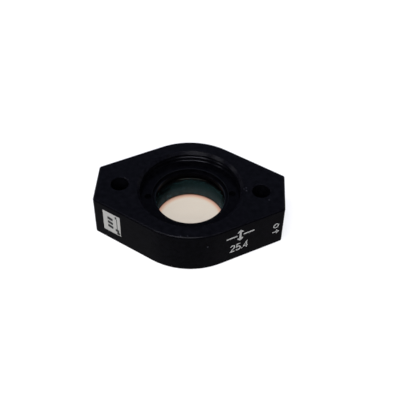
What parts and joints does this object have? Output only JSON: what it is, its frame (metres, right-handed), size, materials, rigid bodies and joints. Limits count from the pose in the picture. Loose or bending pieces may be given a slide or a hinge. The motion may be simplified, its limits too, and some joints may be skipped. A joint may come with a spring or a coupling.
{
  "type": "optical lens mount",
  "caption": "Flat anodised lens mount with a round middle and short arms: a threaded bore holds a thin lens on a shoulder under a screwed retaining ring.",
  "frame": {"origin": "centre of the bore, in the plane of the underside", "axes": "+Z along the bore's axis, out of its threaded mouth; +X along the arms, towards the end flat with the tapped hole"},
  "size_m": [0.0508, 0.0364, 0.0127],
  "materials": {
    "black_anodised": "black anodised, satin",
    "ring_anodised": "black anodised, satin",
    "coated_glass": "polished, with a faint teal anti-reflection coating",
    "label_paper": "matte printed label stock",
    "white_ink": "screen-printed white marks",
    "black_ink": "thermal print on the label"
  },
  "bodies": {
    "mount": {"mount_body": "black_anodised", "lens": "coated_glass", "paper_label": "label_paper"},
    "ring": {"retaining_ring": "ring_anodised"}
  },
  "joints": [
    {"name": "ring_turn", "type": "hinge", "parent": "mount", "child": "ring", "pos_m": [0, 0, 0.0087], "axis": [0, 0, 1], "range_deg": [0, 1080]}
  ]
}
